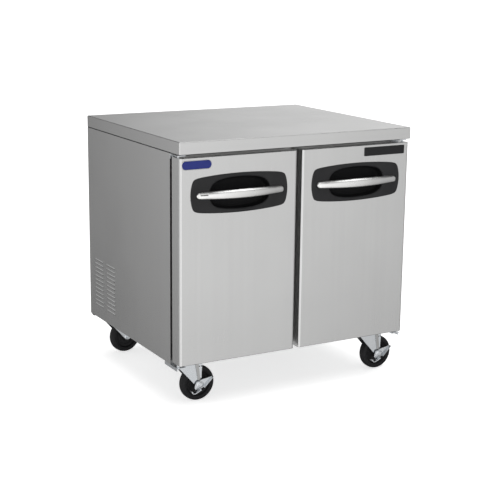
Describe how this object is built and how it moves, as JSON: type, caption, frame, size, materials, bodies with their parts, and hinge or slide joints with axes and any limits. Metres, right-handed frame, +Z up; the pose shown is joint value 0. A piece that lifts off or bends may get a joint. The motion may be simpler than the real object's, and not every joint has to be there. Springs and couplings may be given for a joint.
{
  "type": "undercounter refrigerator",
  "caption": "Undercounter refrigerator with a flat worktop, hinged doors with pocket handles, wire shelves, a rear condensing unit and braked swivel casters.",
  "frame": {"origin": "middle of the floor area that the refrigerator covers, at floor level", "axes": "+Z up, the doors face -Y, +X to the right seen from the front"},
  "size_m": [0.9484, 0.812, 0.9325],
  "materials": {
    "stainless": "brushed stainless steel",
    "galvanized": "galvanized sheet",
    "black_plastic": "fine grained black moulding",
    "foam": "rigid polyurethane foam",
    "aluminium": "plain aluminium sheet",
    "zinc": "bright zinc plate",
    "white_plastic": "white moulded plastic",
    "gasket": "soft black magnetic gasket",
    "silver_plastic": "satin silver moulding",
    "blue_badge": "plain blue enamelled trim plate",
    "black_badge": "plain black trim plate",
    "coil": "aluminium fins on copper tube",
    "black_enamel": "black enamel",
    "wheel": "hard black rubber tyre on a black core"
  },
  "bodies": {
    "cabinet": {"worktop": "stainless", "side_panel_left": "stainless", "side_panel_right": "stainless", "back_panel": "galvanized", "rear_grille": "galvanized", "power_gland": "black_plastic", "base_pan": "galvanized", "insulation": "foam", "liner_floor": "stainless", "liner_ceiling": "aluminium", "liner_back": "aluminium", "liner_left": "aluminium", "liner_right": "aluminium", "face_frame": "stainless", "mullion": "stainless", "hinge_top_left": "zinc", "hinge_bottom_left": "zinc", "shelf_left": "zinc", "shelf_rail_left": "stainless", "hinge_top_right": "zinc", "hinge_bottom_right": "zinc", "shelf_right": "zinc", "shelf_rail_right": "stainless", "shelf_rail_centre": "stainless", "evaporator_cover": "white_plastic", "evaporator_coil": "coil", "evaporator_motor": "black_enamel", "compressor": "black_enamel", "condenser_coil": "coil", "condenser_shroud": "galvanized", "condenser_motor": "black_enamel", "caster_front_left_plate": "zinc", "caster_front_right_plate": "zinc", "caster_rear_left_plate": "zinc", "caster_rear_right_plate": "zinc"},
    "door_left": {"door_left_skin": "stainless", "door_left_liner": "white_plastic", "door_left_gasket": "gasket", "door_left_handle_plate": "black_plastic", "door_left_handle_bar": "silver_plastic", "door_left_badge": "blue_badge"},
    "door_right": {"door_right_skin": "stainless", "door_right_liner": "white_plastic", "door_right_gasket": "gasket", "door_right_handle_plate": "black_plastic", "door_right_handle_bar": "silver_plastic", "door_right_badge": "black_badge"},
    "swivel_front_left": {"caster_front_left_fork": "zinc"},
    "wheel_front_left": {"caster_front_left_wheel": "wheel"},
    "brake_front_left": {"caster_front_left_brake": "zinc"},
    "swivel_front_right": {"caster_front_right_fork": "zinc"},
    "wheel_front_right": {"caster_front_right_wheel": "wheel"},
    "brake_front_right": {"caster_front_right_brake": "zinc"},
    "swivel_rear_left": {"caster_rear_left_fork": "zinc"},
    "wheel_rear_left": {"caster_rear_left_wheel": "wheel"},
    "swivel_rear_right": {"caster_rear_right_fork": "zinc"},
    "wheel_rear_right": {"caster_rear_right_wheel": "wheel"},
    "evaporator_fan": {"evaporator_fan": "black_plastic"},
    "condenser_fan": {"condenser_fan": "aluminium"},
    "thermostat_knob": {"thermostat_knob": "black_plastic"}
  },
  "joints": [
    {"name": "door_left_hinge", "type": "hinge", "parent": "cabinet", "child": "door_left", "pos_m": [-0.46175, -0.34795, 0.17], "axis": [0, 0, -1], "range_deg": [0, 120]},
    {"name": "door_right_hinge", "type": "hinge", "parent": "cabinet", "child": "door_right", "pos_m": [0.43725, -0.34795, 0.17], "axis": [0, 0, 1], "range_deg": [0, 120]},
    {"name": "caster_front_left_turn", "type": "hinge", "parent": "cabinet", "child": "swivel_front_left", "pos_m": [-0.39325, -0.26395, 0.0635], "axis": [0, 0, 1], "continuous": true},
    {"name": "wheel_front_left_spin", "type": "hinge", "parent": "swivel_front_left", "child": "wheel_front_left", "pos_m": [-0.35125, -0.26395, 0.0635], "axis": [0, 1, 0], "continuous": true},
    {"name": "brake_front_left_rock", "type": "hinge", "parent": "swivel_front_left", "child": "brake_front_left", "pos_m": [-0.35125, -0.26395, 0.0635], "axis": [0, 1, 0], "range_deg": [0, 30]},
    {"name": "caster_front_right_turn", "type": "hinge", "parent": "cabinet", "child": "swivel_front_right", "pos_m": [0.36875, -0.26395, 0.0635], "axis": [0, 0, 1], "continuous": true},
    {"name": "wheel_front_right_spin", "type": "hinge", "parent": "swivel_front_right", "child": "wheel_front_right", "pos_m": [0.41075, -0.26395, 0.0635], "axis": [0, 1, 0], "continuous": true},
    {"name": "brake_front_right_rock", "type": "hinge", "parent": "swivel_front_right", "child": "brake_front_right", "pos_m": [0.41075, -0.26395, 0.0635], "axis": [0, 1, 0], "range_deg": [0, 30]},
    {"name": "caster_rear_left_turn", "type": "hinge", "parent": "cabinet", "child": "swivel_rear_left", "pos_m": [-0.39325, 0.35205, 0.0635], "axis": [0, 0, 1], "continuous": true},
    {"name": "wheel_rear_left_spin", "type": "hinge", "parent": "swivel_rear_left", "child": "wheel_rear_left", "pos_m": [-0.35166, 0.3579, 0.0635], "axis": [-0.1392, 0.9903, 0], "continuous": true},
    {"name": "caster_rear_right_turn", "type": "hinge", "parent": "cabinet", "child": "swivel_rear_right", "pos_m": [0.36875, 0.35205, 0.0635], "axis": [0, 0, 1], "continuous": true},
    {"name": "wheel_rear_right_spin", "type": "hinge", "parent": "swivel_rear_right", "child": "wheel_rear_right", "pos_m": [0.39575, 0.31988, 0.0635], "axis": [0.766, 0.6428, 0], "continuous": true},
    {"name": "evaporator_fan_spin", "type": "hinge", "parent": "cabinet", "child": "evaporator_fan", "pos_m": [-0.11225, 0.26405, 0.708], "axis": [0, 1, 0], "continuous": true},
    {"name": "condenser_fan_spin", "type": "hinge", "parent": "cabinet", "child": "condenser_fan", "pos_m": [-0.36395, 0.26155, 0.28], "axis": [1, 0, 0], "continuous": true},
    {"name": "thermostat_turn", "type": "hinge", "parent": "cabinet", "child": "thermostat_knob", "pos_m": [0.13775, 0.24405, 0.708], "axis": [0, 1, 0], "range_deg": [-135, 135]}
  ]
}
